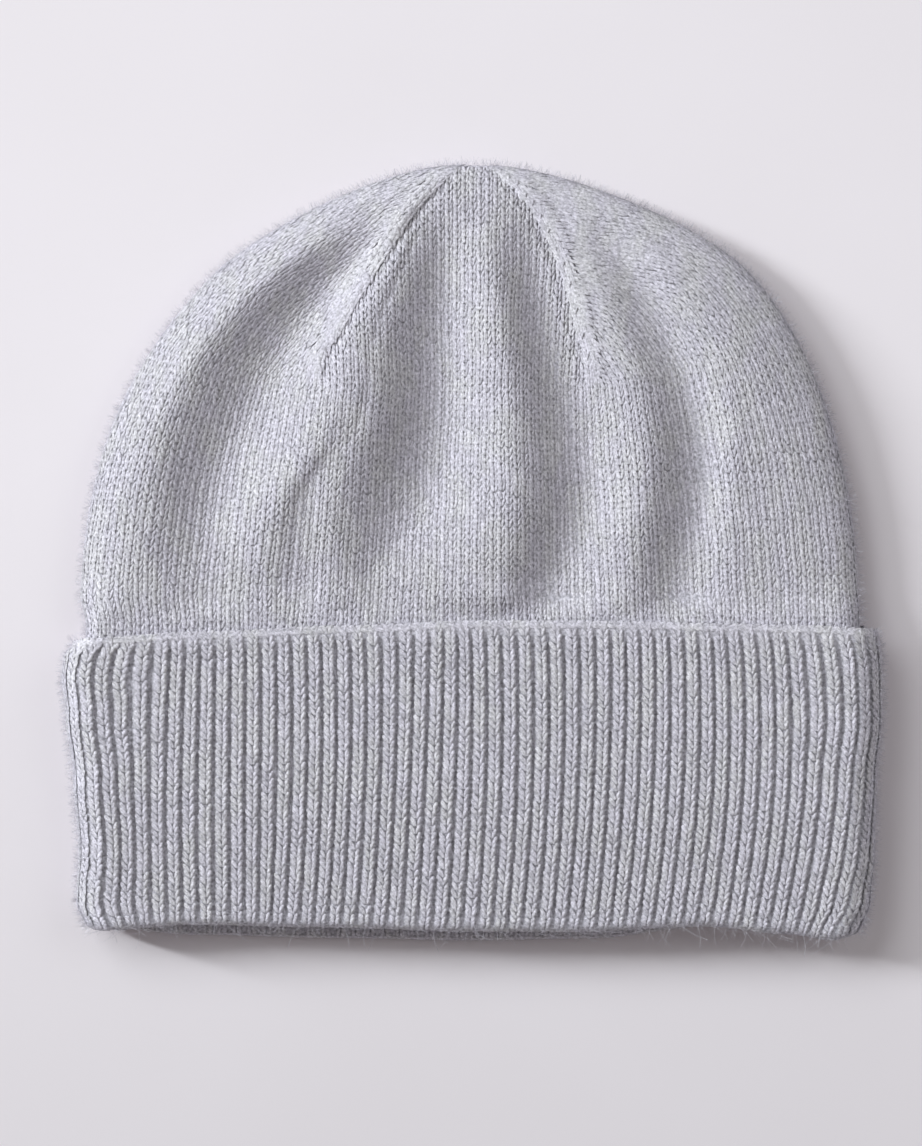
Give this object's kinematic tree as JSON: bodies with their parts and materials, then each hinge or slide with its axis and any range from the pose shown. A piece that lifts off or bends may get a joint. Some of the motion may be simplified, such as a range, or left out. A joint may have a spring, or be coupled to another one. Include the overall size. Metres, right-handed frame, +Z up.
{
  "type": "knitted skull cap",
  "caption": "Close-fitting knitted skull cap lying flat, with a fine jersey crown narrowing to a rounded tip and a deep ribbed cuff turned up double.",
  "frame": {"origin": "on the table under the middle of the cap as it lies on its back", "axes": "+X across the cap to the right of its front face, +Y from the mouth up to the tip, +Z up from the table out of the front face"},
  "size_m": [0.2102, 0.2002, 0.0165],
  "materials": {
    "jersey_knit": "soft heather grey wool jersey, slightly fuzzy, matt",
    "rib_knit": "soft heather grey wool ribbing, slightly fuzzy, matt"
  },
  "bodies": {
    "root": {"crown": "jersey_knit", "cuff": "rib_knit"}
  },
  "joints": []
}
